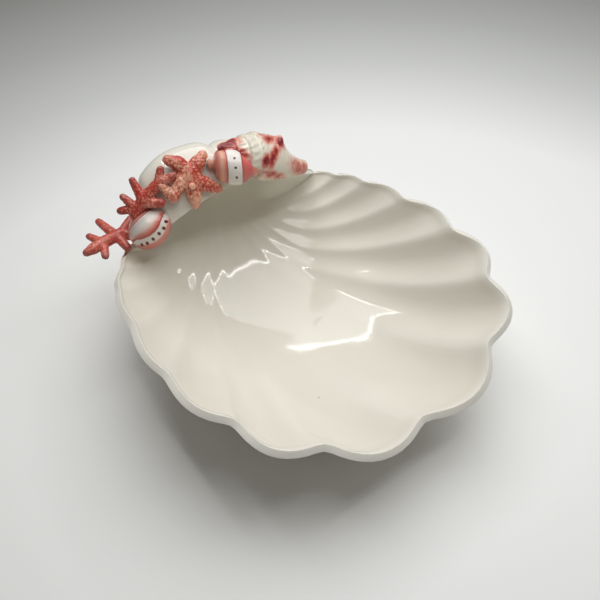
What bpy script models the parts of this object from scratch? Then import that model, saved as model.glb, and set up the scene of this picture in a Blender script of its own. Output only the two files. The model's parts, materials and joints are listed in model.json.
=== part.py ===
"""Shell-shaped serving bowl in glazed ceramic, with small sea ornaments on its curled hinge.

Metres, +Z up. The origin is on the table at the centre of the foot, the scalloped front
of the bowl faces -Y and the curled hinge is at +Y.
"""

from math import atan2, comb, cos, pi, radians, sqrt

import bmesh
import bpy
import numpy as np
from mathutils import Matrix, Vector

# Bowl sizes
HALF_WIDTH_RIGHT = 0.154
HALF_WIDTH_LEFT = 0.165
LENGTH = 0.290
WALL = 0.0046
FLOOR_INSIDE = 0.0095
INNER_DEPTH = 0.066
SIDE_RISE = 0.037
BACK_RISE = 0.033
PROFILE_POWER = 2.4
RIM_ROUNDING = 0.0020

# Ends of the ridges between the flutes, from the front centre to the corner by the hinge:
# share of the half width on the right, the same on the left, and share of the length
RIDGE_ENDS = [
    (-0.030, 0.028, -0.618),
    (0.582, 0.560, -0.550),
    (0.892, 0.865, -0.374),
    (1.000, 1.000, -0.152),
    (0.981, 0.981, 0.078),
    (0.918, 0.918, 0.260),
    (0.835, 0.800, 0.382),
    (0.747, 0.697, 0.466),
]
FLUTE_DEPTH_FRONT = 0.0160
FLUTE_DEPTH_RIGHT = 0.0035
FLUTE_DEPTH_LEFT = 0.0015
RIDGE_SOFTNESS = 0.26
FAN_BEND = 0.10

# Hinge: the line on the back wall where the flutes start, the lip over it and the dome behind
CORNER_X = 0.115
START_Y = 0.1508
START_SPREAD = 0.055
START_SAG = 0.00825
BACK_Y = 0.1685
LIP_Y = 0.1175
LIP_RISE = 0.062
DOME_BACK = 0.1862
DOME_OVER = 0.1372
DOME_CURL = [
    (1.00, DOME_BACK, 0.045),
    (0.97, DOME_BACK, 0.116),
    (0.92, DOME_OVER, 0.112),
]
CREST_AT = -0.38
CREST_SPREAD_LEFT = 0.75
CREST_SPREAD_RIGHT = 1.15
DOME_FROM = 0.70
FOLD_AT = 0.10
FOLD_WIDTH = 0.10
FOLD_DEPTH = 0.003
HINGE_FILL = 0.030

# Foot
FOOT_X = 0.058
FOOT_Y = 0.052
FOOT_TALL = 0.016
FOOT_EDGE = 0.001
FOOT_STEPS = 32

# Ornaments, in millimetres in the frame of their seat: x, y, height and radius along each limb
LIMB_FIELD = 1.46
STAR_LIMBS = [
    [(-2, 0, 5, 8), (-6, 15, 5, 7), (-11, 31, 4, 4.8)],
    [(-2, 0, 5, 8), (11, 10, 5, 7), (23, 18, 3, 4.8)],
    [(-2, 0, 5, 8), (9, -9, 5, 7), (20, -18, 3, 4.6)],
    [(-2, 0, 5, 8), (-5, -11, 5, 6.5), (-8, -21, 3, 4.6)],
    [(-2, 0, 5, 8), (-15, -2, 6, 7), (-26, -2, 7, 5.5), (-27, 14, 8, 4.4)],
    [(-2, 0, 12, 3), (-2, 0, 14, 3)],
]
INNER_CORAL_LIMBS = [
    [(-27, -2, 4, 5.5), (-9, 0, 6, 6.5), (7, 0, 7, 5.2), (16, -2, 7, 4.6)],
    [(-24, 3, 5, 4.5), (-34, 11, 4, 3.4)],
    [(-21, 4, 6, 4.5), (-21, 17, 8, 3.2)],
    [(-10, 1, 6, 5), (-3, 20, 9, 3.4)],
    [(10, -1, 7, 4.5), (23, 7, 8, 3.6)],
    [(15, -2, 7, 4.5), (27, -6, 7, 3.6)],
    [(-12, -2, 6, 5), (0, -15, 7, 4.4)],
]
OUTER_CORAL_LIMBS = [
    [(14, 8, 6, 5), (-1, 15, 9, 6), (-17, 13, 9, 6), (-30, 10, 9, 5.5), (-39, 9, 8, 3.8)],
    [(-5, 20, 9, 5), (-10, 43, 12, 3.6)],
    [(-20, 14, 9, 4.5), (-27, 29, 10, 3.4)],
    [(-19, 12, 8, 4.5), (-25, -4, 6, 3.8)],
    [(-3, 12, 8, 5), (-1, -8, 5, 4)],
    [(2, 16, 9, 5), (18, 25, 14, 4.5)],
]
COCKLE_LONG = 0.045
COCKLE_SHORT = 0.041
COCKLE_TALL = 0.0175
COCKLE_BACK_LONG = 0.039
COCKLE_BACK_SHORT = 0.033
COCKLE_BACK_TALL = 0.0195
COCKLE_BACK_UP = 0.0040
SPINDLE = [
    (-26, 0), (-25, 3.4), (-22.5, 4.6), (-20, 3.6), (-18.5, 5), (-17, 11), (-13, 15), (-8.6, 15.4),
    (-7.6, 14.6), (-7, 16.8), (0, 17.6), (8, 15.6), (8.8, 14.2), (13, 11.4), (19, 6.8), (24, 2.8), (26, 0),
]
CONCH = [
    (0, 0), (1, 2.4), (6, 5.5), (12, 8.5), (18, 12), (25, 15.5), (32, 19), (40, 22), (48, 24), (56, 24.5),
    (64, 23.5), (72, 20.5), (80, 17), (88, 13.5), (96, 10.5), (104, 8.5), (111, 6), (114, 0),
]
WHORL_PITCH = 13
KNOB_AT = 66

# Fineness of the mesh
STEPS_PER_LOBE = 6
LIP_STEPS = 28
ROWS = 12
RIM_STEPS = 2

# Spacing between the bowl and each piece on it, and how far the pieces are cut back inside it
GAP = 0.0003
CUT_INSIDE = 0.010

LOBES = len(RIDGE_ENDS) - 1
FRONT_RIM = FLOOR_INSIDE + INNER_DEPTH
CORNER_Y = RIDGE_ENDS[-1][2] * LENGTH
HINGE_CENTRE = LOBES + 1.0


def smooth_step(start, end, x):
    s = np.clip((x - start) / (end - start), 0.0, 1.0)
    return s * s * (3.0 - 2.0 * s)


def rim_height(x):
    return FRONT_RIM + SIDE_RISE * (x / np.where(x < 0, HALF_WIDTH_LEFT, HALF_WIDTH_RIGHT)) ** 2


def ridge_line(p):
    """Outline through the ridge ends; p is 0 at the front centre and one more at each ridge."""
    ends = np.array(RIDGE_ENDS) * (HALF_WIDTH_RIGHT, HALF_WIDTH_LEFT, LENGTH)
    knots = np.vstack([ends[1] * (-1, -1, 1), ends, 2 * ends[-1] - ends[-2]])
    along = np.clip(np.abs(p), 0.0, LOBES - 1e-9)
    i = np.floor(along).astype(int)
    f = (along - i)[..., None]
    a, b, c, d = knots[i], knots[i + 1], knots[i + 2], knots[i + 3]
    line = 0.5 * (2 * b + (c - a) * f + (2 * a - 5 * b + 4 * c - d) * f**2 + (3 * b - a - 3 * c + d) * f**3)
    return np.where(p < 0, -line[..., 1], line[..., 0]), line[..., 2]


def outline_by_angle():
    """Distance of the outline from the origin and its height, by direction."""
    rim_x, rim_y = ridge_line(np.linspace(-LOBES, LOBES, 561))
    turn = np.linspace(0, pi, 121)[1:-1]
    x = np.r_[rim_x, CORNER_X * np.cos(turn)]
    y = np.r_[rim_y, CORNER_Y + (BACK_Y - CORNER_Y) * np.sin(turn)]
    corner_z = rim_height(CORNER_X * np.sign(np.cos(turn)))
    back = corner_z + (FRONT_RIM + BACK_RISE - corner_z) * np.sin(turn)
    z = np.r_[rim_height(rim_x), back]
    angle = np.arctan2(x, -y)
    order = np.argsort(angle)
    angle = angle[order]
    return (
        np.r_[angle - 2 * pi, angle, angle + 2 * pi],
        np.tile(np.hypot(x, y)[order], 3),
        np.tile(z[order], 3),
    )


OUTLINE_ANGLE, OUTLINE_REACH, OUTLINE_Z = outline_by_angle()


def inside_height(x, y):
    """Height of the plain bowl without flutes, and how near the outline the point is."""
    angle = np.arctan2(x, -y)
    reach = np.hypot(x, y) / np.interp(angle, OUTLINE_ANGLE, OUTLINE_REACH)
    top = np.interp(angle, OUTLINE_ANGLE, OUTLINE_Z)
    return FLOOR_INSIDE + (top - FLOOR_INSIDE) * reach**PROFILE_POWER, reach


def edge_point(w):
    """Free edge of the shell: the rim for w from -7 to 7, then the lip back to -7."""
    t = HINGE_CENTRE - w
    on_lip = w > LOBES
    rim_x, rim_y = ridge_line(np.clip(w, -LOBES, LOBES))
    lip_y = LIP_Y + (CORNER_Y - LIP_Y) * np.abs(t) ** 4
    arch = np.cos(pi / 2 * np.clip(t, -1, 1)) ** 0.9
    corner_z = rim_height(CORNER_X * np.sign(t))
    lip_z = corner_z + (FRONT_RIM + LIP_RISE - corner_z) * arch
    x = np.where(on_lip, CORNER_X * t, rim_x)
    y = np.where(on_lip, lip_y, rim_y)
    z = np.where(on_lip, lip_z, rim_height(rim_x))
    return x, y, z, np.where(on_lip, t, np.sign(w + 1e-12)), on_lip


def start_point(w):
    """Where each line leaves the back wall: rim lines run down from it and lip lines run up."""
    share = np.where(w > LOBES, HINGE_CENTRE - w, w / LOBES)
    return START_SPREAD * share, START_Y - START_SAG * share**2


def curve_through(points, g):
    """Bezier curve through lists of x, y and z."""
    last = len(points) - 1
    weights = [comb(last, i) * g**i * (1 - g) ** (last - i) for i in range(last + 1)]
    return [sum(share * point[axis] for share, point in zip(weights, points)) for axis in range(3)]


def wall_point(x0, y0, t):
    """A point a little further up the back wall, or along the rim at the two corners."""
    to_corner = smooth_step(0.70, 1.0, np.abs(t))
    corner_x = np.sign(t + 1e-12) * CORNER_X
    x = x0 + (1 - to_corner) * 0.12 * x0 + to_corner * 0.4 * (corner_x - x0)
    y = y0 + (1 - to_corner) * 0.12 * y0 + to_corner * 0.4 * (CORNER_Y - y0)
    return x, y, inside_height(x, y)[0]


def plain_shell(w, g):
    """Shell without flutes: g runs from 0 on the back wall to 1 at the free edge."""
    x, y, z, t, on_lip = edge_point(w)
    # Straight fan lines to the rim; under the lip this is the line to the near corner
    near = np.sign(t + 1e-12)
    rim_w = np.where(on_lip, LOBES * near, w)
    rim_x, rim_y, rim_z, _, _ = edge_point(rim_w)
    x0, y0 = start_point(rim_w)
    bend = FAN_BEND * np.sign(rim_x + 1e-12) * np.clip(LOBES - np.abs(rim_w), 0, 1) * g * (1 - g)
    px = x0 + g * (rim_x - x0) - bend * (rim_y - y0)
    py = y0 + g * (rim_y - y0) + bend * (rim_x - x0)
    floor_z, reach = inside_height(px, py)
    pz = floor_z + (rim_z - inside_height(rim_x, rim_y)[0]) * g**3
    corner_start = (x0, y0, inside_height(x0, y0)[0])
    corner_line = curve_through([corner_start, wall_point(x0, y0, near), (rim_x, rim_y, rim_z)], g)
    # The lip: each line climbs the back wall, and in the dome it curls over and comes forward
    x0, y0 = start_point(w)
    points = [(x0, y0, inside_height(x0, y0)[0]), wall_point(x0, y0, t)]
    low = curve_through([*points, (x, y, z)], g)
    spread = np.where(t < CREST_AT, CREST_SPREAD_LEFT, CREST_SPREAD_RIGHT)
    crest = np.cos(pi / 2 * np.clip((t - CREST_AT) / spread, -1, 1))
    for across, back, up in DOME_CURL:
        points.append((across * x, y + (back - y) * np.sqrt(crest), z + (FRONT_RIM + up - z) * crest))
    high = curve_through([*points, (x, y, z)], g)
    blend = 1 - smooth_step(DOME_FROM, 1.0, np.abs(t))
    shell = []
    for rim_line, at_corner, under, over in zip((px, py, pz), corner_line, low, high):
        lip_line = (1 - blend) * (rim_line + under - at_corner) + blend * over
        shell.append(np.where(on_lip, lip_line, rim_line))
    return np.stack(np.broadcast_arrays(*shell), -1), reach, t, on_lip


def outward(surface, w, g):
    """Unit normals away from the inside of the bowl."""
    dw, dg = 1e-3, 1e-3
    across = surface(w + dw, g) - surface(w - dw, g)
    along = surface(w, g + dg) - surface(w, np.maximum(g - dg, 0.0))
    normal = np.cross(across, along)
    return normal / (np.linalg.norm(normal, axis=-1, keepdims=True) + 1e-15)


def wrap(w):
    turn = 2 * HINGE_CENTRE
    return np.where(w < -LOBES, w + turn, np.where(w > turn - LOBES, w - turn, w))


def plain_points(w, g):
    return plain_shell(wrap(w), g)[0]


def shell_points(w, g):
    """Inner surface of the bowl, with its flutes."""
    w = wrap(w)
    points, reach, t, on_lip = plain_shell(w, g)
    normal = outward(plain_points, w, g)
    level = 1 - smooth_step(0.6, 1.0, g)
    normal = normal * np.stack(np.broadcast_arrays(1.0, 1.0, np.where(on_lip, 1.0, level)), -1)
    normal /= np.linalg.norm(normal, axis=-1, keepdims=True) + 1e-15
    least = np.where(w < 0, FLUTE_DEPTH_LEFT, FLUTE_DEPTH_RIGHT)
    fade = np.cos(pi / 2 * np.clip(w / LOBES, -1, 1)) ** np.where(w < 0, 6, 2)
    depth = least + (FLUTE_DEPTH_FRONT - least) * fade
    wave = np.sqrt(np.sin(pi * w) ** 2 + RIDGE_SOFTNESS**2) - RIDGE_SOFTNESS
    wave = wave / (sqrt(1 + RIDGE_SOFTNESS**2) - RIDGE_SOFTNESS)
    flute = depth * wave * g * smooth_step(0.25, 0.95, reach)
    fold = -FOLD_DEPTH * np.exp(-(((t - FOLD_AT) / FOLD_WIDTH) ** 2)) * np.sin(pi * np.clip(g, 0, 1)) ** 2
    out = np.where(on_lip, fold, flute)
    return points + normal * out[..., None]


def outer_points(w, g):
    return shell_points(w, g) + WALL * outward(shell_points, w, g)


def new_object(name, collection, bm):
    bmesh.ops.recalc_face_normals(bm, faces=bm.faces)
    mesh = bpy.data.meshes.new(name)
    bm.to_mesh(mesh)
    bm.free()
    mesh.shade_smooth()
    made = bpy.data.objects.new(name, mesh)
    collection.objects.link(made)
    return made


def bmesh_of(piece):
    bm = bmesh.new()
    bm.from_mesh(piece.data)
    return bm


def curved_grid(columns, w_from, w_to, starts):
    """Grid laid on the shell; at the back wall its lines gather into a few shared starts."""
    bpy.ops.mesh.primitive_grid_add(x_subdivisions=columns, y_subdivisions=ROWS, size=1.0)
    grid = bpy.context.object
    flat = np.empty(3 * len(grid.data.vertices))
    grid.data.vertices.foreach_get("co", flat)
    u, g, _ = flat.reshape(-1, 3).T + 0.5
    u = np.where(g < 0.5 / ROWS, np.round(u * starts) / starts, u)
    points = shell_points(w_from + u * (w_to - w_from), np.round(g, 6))
    grid.data.vertices.foreach_set("co", points.ravel())
    return grid


def shell_sheet(name, collection):
    """Inner surface of the bowl as one open sheet."""
    bpy.ops.object.select_all(action="DESELECT")
    lip = curved_grid(LIP_STEPS, LOBES + 1e-9, 2 * HINGE_CENTRE - LOBES, LIP_STEPS)
    rim = curved_grid(2 * LOBES * STEPS_PER_LOBE, -LOBES, LOBES, LIP_STEPS)
    lip.select_set(True)
    bpy.ops.object.join()
    bm = bmesh_of(rim)
    bmesh.ops.remove_doubles(bm, verts=bm.verts, dist=0.00002)
    bpy.data.objects.remove(rim)
    sheet = new_object(name, collection, bm)
    lowest = min(sheet.data.polygons, key=lambda face: face.center.z)
    if lowest.normal.z < 0:
        sheet.data.flip_normals()
    # Slip fills the two places where the ends of the lip leave the back wall
    fill = sheet.vertex_groups.new(name="hinge_ends")
    x0, y0 = START_SPREAD, START_Y - START_SAG
    end = Vector((x0, y0, inside_height(x0, y0)[0]))
    for vertex in sheet.data.vertices:
        away = (Vector((abs(vertex.co.x), vertex.co.y, vertex.co.z)) - end).length
        if away < HINGE_FILL:
            fill.add([vertex.index], 1 - away / HINGE_FILL, "REPLACE")
    smooth = sheet.modifiers.new("filled", "SMOOTH")
    smooth.vertex_group = "hinge_ends"
    smooth.iterations = 8
    return sheet


def thickened(sheet, inwards, outwards):
    """The sheet as a wall that reaches this far to each side of it."""
    wall = sheet.modifiers.new("wall", "SOLIDIFY")
    wall.thickness = inwards + outwards
    wall.offset = (inwards - outwards) / (inwards + outwards)
    return sheet


def material(name, colour, roughness):
    made = bpy.data.materials.new(name)
    made.use_nodes = True
    shader = made.node_tree.nodes["Principled BSDF"]
    shader.inputs["Base Color"].default_value = (*colour, 1.0)
    shader.inputs["Roughness"].default_value = roughness
    shader.inputs["Metallic"].default_value = 0.0
    return made


def seat(t, g):
    """Frame on the outside of the lip: X along the lip, Y up the dome, Z off the surface."""
    w = np.array(HINGE_CENTRE - t)
    g = np.array(g)
    point = outer_points(w, g)
    up = outward(outer_points, w, g)
    along = outer_points(w - 0.02, g) - outer_points(w + 0.02, g)
    along -= up * (along @ up)
    along /= np.linalg.norm(along)
    frame = np.eye(4)
    frame[:3, 0], frame[:3, 1], frame[:3, 2], frame[:3, 3] = along, np.cross(up, along), up, point
    return Matrix(frame.tolist())


def branched(name, collection, strokes, triangles, frame, flatten=1.0):
    """Soft rounded limbs that melt into one another; each stroke lists x, y, height, radius in mm."""
    balls = bpy.data.metaballs.new(name + "_limbs")
    balls.resolution = 0.15
    balls.threshold = 0.6
    for stroke in strokes:
        for start, end in zip(stroke, stroke[1:]):
            start, end = np.array(start, float), np.array(end, float)
            length = np.linalg.norm((end - start)[:3])
            count = max(2, int(length / (0.5 * min(start[3], end[3]))) + 1)
            for share in np.linspace(0, 1, count):
                x, y, z, radius = start + share * (end - start)
                ball = balls.elements.new()
                ball.co = (x / 10, y / 10, z / 10)
                ball.radius = LIMB_FIELD * radius / 10
    source = bpy.data.objects.new(name + "_limbs", balls)
    bpy.context.scene.collection.objects.link(source)
    bpy.context.view_layer.update()
    graph = bpy.context.evaluated_depsgraph_get()
    mesh = bpy.data.meshes.new_from_object(source.evaluated_get(graph))
    bpy.data.objects.remove(source)
    mesh.transform(frame @ Matrix.Diagonal((0.01, 0.01, 0.01 * flatten, 1)))
    bm = bmesh.new()
    bm.from_mesh(mesh)
    bpy.data.meshes.remove(mesh)
    made = new_object(name, collection, bm)
    thin = made.modifiers.new("fewer", "DECIMATE")
    thin.ratio = min(1.0, triangles / (2 * len(made.data.polygons)))
    return settled(made)


def turned(name, collection, radii, sides, frame, wave=None):
    """Body turned about X from (x, radius) in mm; wave(x, angle) may press the surface in or out."""
    bm = bmesh.new()
    corners = [bm.verts.new((radius / 1000, 0, x / 1000)) for x, radius in reversed(radii)]
    for start, end in zip(corners, corners[1:]):
        bm.edges.new((start, end))
    made = new_object(name, collection, bm)
    screw = made.modifiers.new("turned", "SCREW")
    screw.axis = "Z"
    screw.steps = sides
    screw.render_steps = sides
    screw.use_merge_vertices = True
    screw.merge_threshold = 0.00001
    settled(made)
    made.data.transform(Matrix(((0, 0, 1, 0), (1, 0, 0, 0), (0, 1, 0, 0), (0, 0, 0, 1))))
    if wave:
        for vertex in made.data.vertices:
            x, y, z = vertex.co
            press = wave(1000 * x, atan2(z, y))
            vertex.co = (x, y * press, z * press)
    made.data.transform(frame)
    return made


def domed(name, collection, length, width, height, frame):
    """Oval dome, widest at its seat."""
    bpy.ops.mesh.primitive_uv_sphere_add(segments=24, ring_count=12, radius=1.0)
    ball = bpy.context.object
    made = new_object(name, collection, bmesh_of(ball))
    bpy.data.objects.remove(ball)
    made.data.transform(frame @ Matrix.Diagonal((length / 2, width / 2, height, 1)))
    return made


def settled(piece):
    """The piece with its modifiers applied, keeping only its largest body."""
    bpy.context.view_layer.update()
    graph = bpy.context.evaluated_depsgraph_get()
    mesh = bpy.data.meshes.new_from_object(piece.evaluated_get(graph))
    piece.modifiers.clear()
    bm = bmesh.new()
    bm.from_mesh(mesh)
    bpy.data.meshes.remove(mesh)
    left = set(bm.verts)
    bodies = []
    while left:
        body = {left.pop()}
        edge = list(body)
        while edge:
            near = {e.other_vert(v) for v in edge for e in v.link_edges}
            edge = list(near - body)
            body |= near
        left -= body
        bodies.append(body)
    bodies.sort(key=len)
    for body in bodies[:-1]:
        bmesh.ops.delete(bm, geom=list(body), context="VERTS")
    bm.to_mesh(piece.data)
    bm.free()
    piece.data.shade_smooth()
    return piece


def in_triangles(piece):
    """Splits its twisted faces, so that a room swollen from it clears it everywhere."""
    piece.modifiers.new("triangles", "TRIANGULATE")
    return settled(piece)


def swollen(piece, by):
    """Copy of a piece, fatter all round, to clear room for it in its neighbours."""
    copy = piece.copy()
    copy.data = piece.data.copy()
    copy.name = piece.name + "_room"
    cutters.objects.link(copy)
    normals = [vertex.normal.copy() for vertex in copy.data.vertices]
    for vertex, normal in zip(copy.data.vertices, normals):
        vertex.co += by * normal
    copy.display_type = "WIRE"
    return copy


def carve(piece, rooms):
    for room in rooms:
        cut = piece.modifiers.new("room", "BOOLEAN")
        cut.operation = "DIFFERENCE"
        cut.solver = "EXACT"
        cut.object = room
        settled(piece)
    return piece


def conch_wave(x, angle):
    """Stepped whorls on the spire, ribs across the body, and a knob on the shoulder."""
    turn = (x / WHORL_PITCH - angle / (2 * pi)) % 1.0
    spire = 1 - 0.22 * (turn - 0.5) * float(smooth_step(58, 40, x))
    ribs = 1 + 0.04 * cos(9 * angle) * float(smooth_step(30, 46, x)) * float(smooth_step(90, 70, x))
    from_knob = ((x - KNOB_AT) / 6) ** 2 + ((angle - pi / 3) / 0.32) ** 2
    return spire * ribs * (1 + 0.36 * float(np.exp(-from_knob)))


for leftover in list(bpy.data.objects):
    bpy.data.objects.remove(leftover)

parts = bpy.data.collections.new("shell_bowl")
cutters = bpy.data.collections.new("cutters")
bpy.context.scene.collection.children.link(parts)
bpy.context.scene.collection.children.link(cutters)
cutters.hide_render = True

# The bowl: one slip-cast wall with a rounded rim
bowl = thickened(shell_sheet("bowl", parts), 0.0, WALL)
rounded = bowl.modifiers.new("rounded", "BEVEL")
rounded.limit_method = "ANGLE"
rounded.angle_limit = radians(62)
rounded.width = RIM_ROUNDING
rounded.segments = RIM_STEPS
settled(bowl)
bowl_inside = in_triangles(thickened(shell_sheet("bowl_inside", cutters), CUT_INSIDE, WALL / 2))
bowl_inside.display_type = "WIRE"

# Its foot: a low oval pad, flat on the table, joined to the underside
bpy.ops.mesh.primitive_cylinder_add(vertices=FOOT_STEPS, radius=1.0, depth=1.0, location=(0, 0, 0))
pad = bpy.context.object
foot = new_object("foot", cutters, bmesh_of(pad))
bpy.data.objects.remove(pad)
foot.data.transform(Matrix.Translation((0, 0, FOOT_TALL / 2)) @ Matrix.Diagonal((FOOT_X, FOOT_Y, FOOT_TALL, 1)))
foot.display_type = "WIRE"
foot_edge = foot.modifiers.new("edge", "BEVEL")
foot_edge.width = FOOT_EDGE
carve(foot, [bowl_inside])
joined = bowl.modifiers.new("foot", "BOOLEAN")
joined.operation = "UNION"
joined.solver = "EXACT"
joined.object = foot
in_triangles(bowl)
bowl.data.materials.append(material("cream_glaze", (0.80, 0.78, 0.69), 0.12))
bowl_rooms = [swollen(bowl, GAP), bowl_inside]

# Starfish: five soft tapering arms, one bent back, and a button in the middle
starfish = branched("starfish", parts, STAR_LIMBS, 860, seat(-0.37, 0.92), 0.8)
carve(starfish, bowl_rooms)
starfish.data.materials.append(material("red_speckled_glaze", (0.62, 0.15, 0.10), 0.25))
star_room = swollen(starfish, GAP)

# Inner coral branch, behind the cockle and beside the starfish
inner_coral = branched("coral_branch_inner", parts, INNER_CORAL_LIMBS, 840, seat(-0.70, 0.84))
carve(inner_coral, [*bowl_rooms, star_room])
inner_coral.data.materials.append(material("deep_coral_glaze", (0.50, 0.09, 0.08), 0.25))
inner_room = swollen(inner_coral, GAP)

# Cockle: a round domed shell with a raised back
cockle_seat = seat(-0.79, 0.965)
cockle = domed("striped_cockle", parts, COCKLE_LONG, COCKLE_SHORT, COCKLE_TALL, cockle_seat)
cockle_up = cockle_seat @ Matrix.Translation((0, COCKLE_BACK_UP, 0)) @ Matrix.Rotation(radians(5), 4, "Z")
cockle_back = domed("cockle_back", cutters, COCKLE_BACK_LONG, COCKLE_BACK_SHORT, COCKLE_BACK_TALL, cockle_up)
cockle_back.display_type = "WIRE"
raised = cockle.modifiers.new("back", "BOOLEAN")
raised.operation = "UNION"
raised.solver = "EXACT"
raised.object = cockle_back
settled(cockle)
carve(cockle, [*bowl_rooms, inner_room])
cockle.data.materials.append(material("pink_banded_glaze", (0.85, 0.42, 0.36), 0.15))
cockle_room = swollen(cockle, GAP)

# Outer coral branch, reaching out over the corner of the rim
corner = Matrix.Translation((-CORNER_X, CORNER_Y, rim_height(CORNER_X)))
outer_coral = branched("coral_branch_outer", parts, OUTER_CORAL_LIMBS, 840, corner)
carve(outer_coral, [*bowl_rooms, inner_room, cockle_room])
outer_coral.data.materials.append(material("coral_glaze", (0.58, 0.14, 0.11), 0.25))

# Striped spindle shell, lying along the lip
spindle_frame = seat(0.03, 0.93) @ Matrix.Translation((-0.0045, 0, 0.011)) @ Matrix.Rotation(radians(-22), 4, "Z")
spindle = turned("striped_spindle_shell", parts, SPINDLE, 16, spindle_frame)
carve(spindle, [*bowl_rooms, star_room])
spindle.data.materials.append(material("peach_banded_glaze", (0.87, 0.45, 0.36), 0.15))
spindle_room = swollen(spindle, GAP)

# Conch: whorled spire to the left, ribbed body and canal to the right
conch_frame = (
    seat(0.37, 0.88)
    @ Matrix.Translation((-0.062, -0.001, 0.009))
    @ Matrix.Rotation(radians(-4), 4, "Z")
    @ Matrix.Rotation(radians(1), 4, "Y")
    @ Matrix.Diagonal((1, 1, 0.8, 1))
)
conch = turned("conch_shell", parts, CONCH, 24, conch_frame, conch_wave)
carve(conch, [*bowl_rooms, spindle_room])
conch.data.materials.append(material("mottled_conch_glaze", (0.83, 0.66, 0.58), 0.15))
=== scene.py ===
import json
from math import comb, cos, pi, radians, sin, sqrt

import bmesh
import bpy
import numpy as np
from mathutils import Matrix, Vector, noise
from mathutils.bvhtree import BVHTree

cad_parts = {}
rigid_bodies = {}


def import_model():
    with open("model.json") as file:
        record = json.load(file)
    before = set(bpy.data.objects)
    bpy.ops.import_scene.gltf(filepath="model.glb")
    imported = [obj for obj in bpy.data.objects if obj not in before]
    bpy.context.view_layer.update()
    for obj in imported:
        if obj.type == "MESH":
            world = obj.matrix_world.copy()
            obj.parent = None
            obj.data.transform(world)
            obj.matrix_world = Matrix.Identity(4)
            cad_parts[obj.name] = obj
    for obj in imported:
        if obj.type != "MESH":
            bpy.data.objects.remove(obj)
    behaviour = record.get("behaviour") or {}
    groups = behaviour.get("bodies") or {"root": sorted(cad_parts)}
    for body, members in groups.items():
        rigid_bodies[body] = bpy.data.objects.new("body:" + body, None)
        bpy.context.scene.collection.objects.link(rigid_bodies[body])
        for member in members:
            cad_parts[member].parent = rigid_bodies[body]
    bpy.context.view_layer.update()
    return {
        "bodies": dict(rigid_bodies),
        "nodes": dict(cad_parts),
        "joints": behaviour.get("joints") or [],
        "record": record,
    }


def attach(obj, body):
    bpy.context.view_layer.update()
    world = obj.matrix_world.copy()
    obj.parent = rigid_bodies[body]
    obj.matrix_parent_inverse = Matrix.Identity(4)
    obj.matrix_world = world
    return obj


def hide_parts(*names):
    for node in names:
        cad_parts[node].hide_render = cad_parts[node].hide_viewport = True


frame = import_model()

# The bowl. A scallop shell in white earthenware, slip-cast in one wall with its domed hinge,
# which curls over at the back into a lip, and dipped in a clear cream glaze. The glaze runs
# off the rim and gathers in the flutes; the rim and the ridges are lighter in colour for that and
# for a painted highlight. It stands on a low foot, wiped bare underneath.
HALF_WIDTH_LEFT = 0.165
HALF_WIDTH_RIGHT = 0.154
LENGTH = 0.290
WALL = 0.0046
FLOOR_INSIDE = 0.0095
FRONT_RIM = FLOOR_INSIDE + 0.066
SIDE_RISE = 0.037
BACK_RISE = 0.033
PROFILE_POWER = 2.4
# Ends of the ridges from the front centre to the hinge: share of the half width on the right,
# the same on the left, and share of the length
RIDGE_ENDS = [
    (-0.030, 0.028, -0.618),
    (0.582, 0.560, -0.550),
    (0.892, 0.865, -0.374),
    (1.000, 1.000, -0.152),
    (0.981, 0.981, 0.078),
    (0.918, 0.918, 0.260),
    (0.835, 0.800, 0.382),
    (0.747, 0.697, 0.466),
]
LOBES = len(RIDGE_ENDS) - 1
FLUTE_DEPTH_FRONT = 0.0160
FLUTE_DEPTH_RIGHT = 0.0035
FLUTE_DEPTH_LEFT = 0.0015
RIDGE_SOFTNESS = 0.26
FAN_BEND = 0.10
START_Y = 0.520 * LENGTH
START_SPREAD = 0.055
BACK_Y = 0.581 * LENGTH
LIP_Y = 0.405 * LENGTH
LIP_RISE = 0.062
DOME_CURL = [
    (1.00, 0.642 * LENGTH, 0.045),
    (0.97, 0.642 * LENGTH, 0.116),
    (0.92, 0.473 * LENGTH, 0.112),
]
CREST_AT = -0.38
DOME_FROM = 0.70
FOLD_AT = -0.03
FOLD_WIDTH = 0.07
FOLD_DEPTH = 0.008
CORNER_X = 0.115
CORNER_Y = RIDGE_ENDS[-1][2] * LENGTH
HINGE_CENTRE = LOBES + 1.0


def smooth_step(start, end, x):
    s = np.clip((x - start) / (end - start), 0.0, 1.0)
    return s * s * (3.0 - 2.0 * s)


def smooth_line(knots, along):
    """Points of a smooth curve through the knots; along is 0 at the second and 1 at the third."""
    i = np.minimum(np.floor(along).astype(int), len(knots) - 4)
    f = (along - i)[..., None]
    a, b, c, d = knots[i], knots[i + 1], knots[i + 2], knots[i + 3]
    return 0.5 * (2 * b + (c - a) * f + (2 * a - 5 * b + 4 * c - d) * f**2 + (3 * b - a - 3 * c + d) * f**3)


def rim_height(x):
    return FRONT_RIM + SIDE_RISE * (x / np.where(x < 0, HALF_WIDTH_LEFT, HALF_WIDTH_RIGHT)) ** 2


def ridge_line(p):
    """Outline through the ridge ends; p is 0 at the front centre and one more at each ridge."""
    ends = np.array(RIDGE_ENDS) * (HALF_WIDTH_RIGHT, HALF_WIDTH_LEFT, LENGTH)
    knots = np.vstack([ends[1] * (-1, -1, 1), ends, 2 * ends[-1] - ends[-2]])
    line = smooth_line(knots, np.clip(np.abs(p), 0.0, LOBES))
    return np.where(p < 0, -line[..., 1], line[..., 0]), line[..., 2]


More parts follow.
